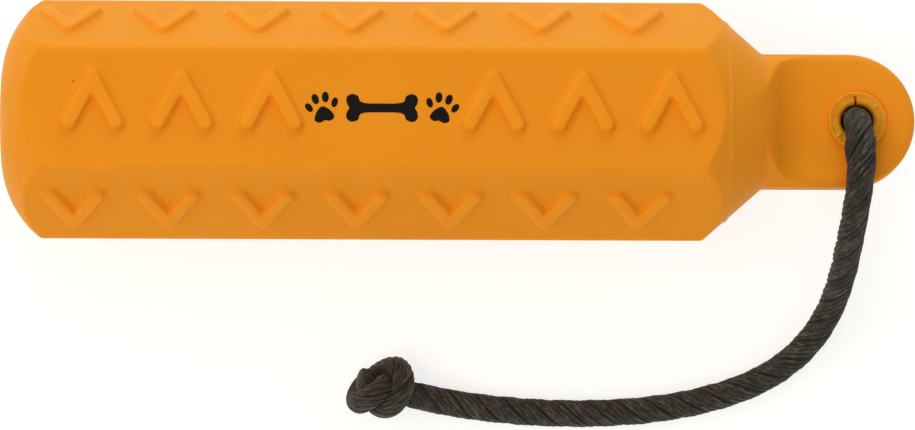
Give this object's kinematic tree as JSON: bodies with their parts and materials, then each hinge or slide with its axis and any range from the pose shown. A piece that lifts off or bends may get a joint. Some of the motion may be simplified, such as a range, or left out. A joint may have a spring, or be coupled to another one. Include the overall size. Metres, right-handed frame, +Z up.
{
  "type": "training bumper",
  "caption": "Soft hollow hexagonal throw dummy with raised chevrons, a flat throw tab with an eyelet, and a knotted throw rope.",
  "frame": {"origin": "under the middle of the bumper's length and width, on the plane that its lowest chevrons stand on", "axes": "+X from the closed end to the throw tab, +Z up, square to the flat tab"},
  "size_m": [0.28, 0.1295, 0.0686],
  "materials": {
    "vinyl": "satin moulded soft vinyl",
    "eyelet_plastic": "glossy, slightly translucent",
    "valve_rubber": "matte",
    "rope_fibre": "laid filament rope"
  },
  "bodies": {
    "bumper": {"body_shell": "vinyl", "eyelet_front": "eyelet_plastic", "eyelet_back": "eyelet_plastic", "air_valve": "valve_rubber"},
    "rope": {"throw_rope": "rope_fibre", "stopper_knot": "rope_fibre", "hand_knot": "rope_fibre"}
  },
  "joints": [
    {"name": "rope_swivel", "type": "hinge", "parent": "bumper", "child": "rope", "pos_m": [0.122, 0, 0.0417], "axis": [0, 0, 1], "range_deg": [-12, 205]}
  ]
}
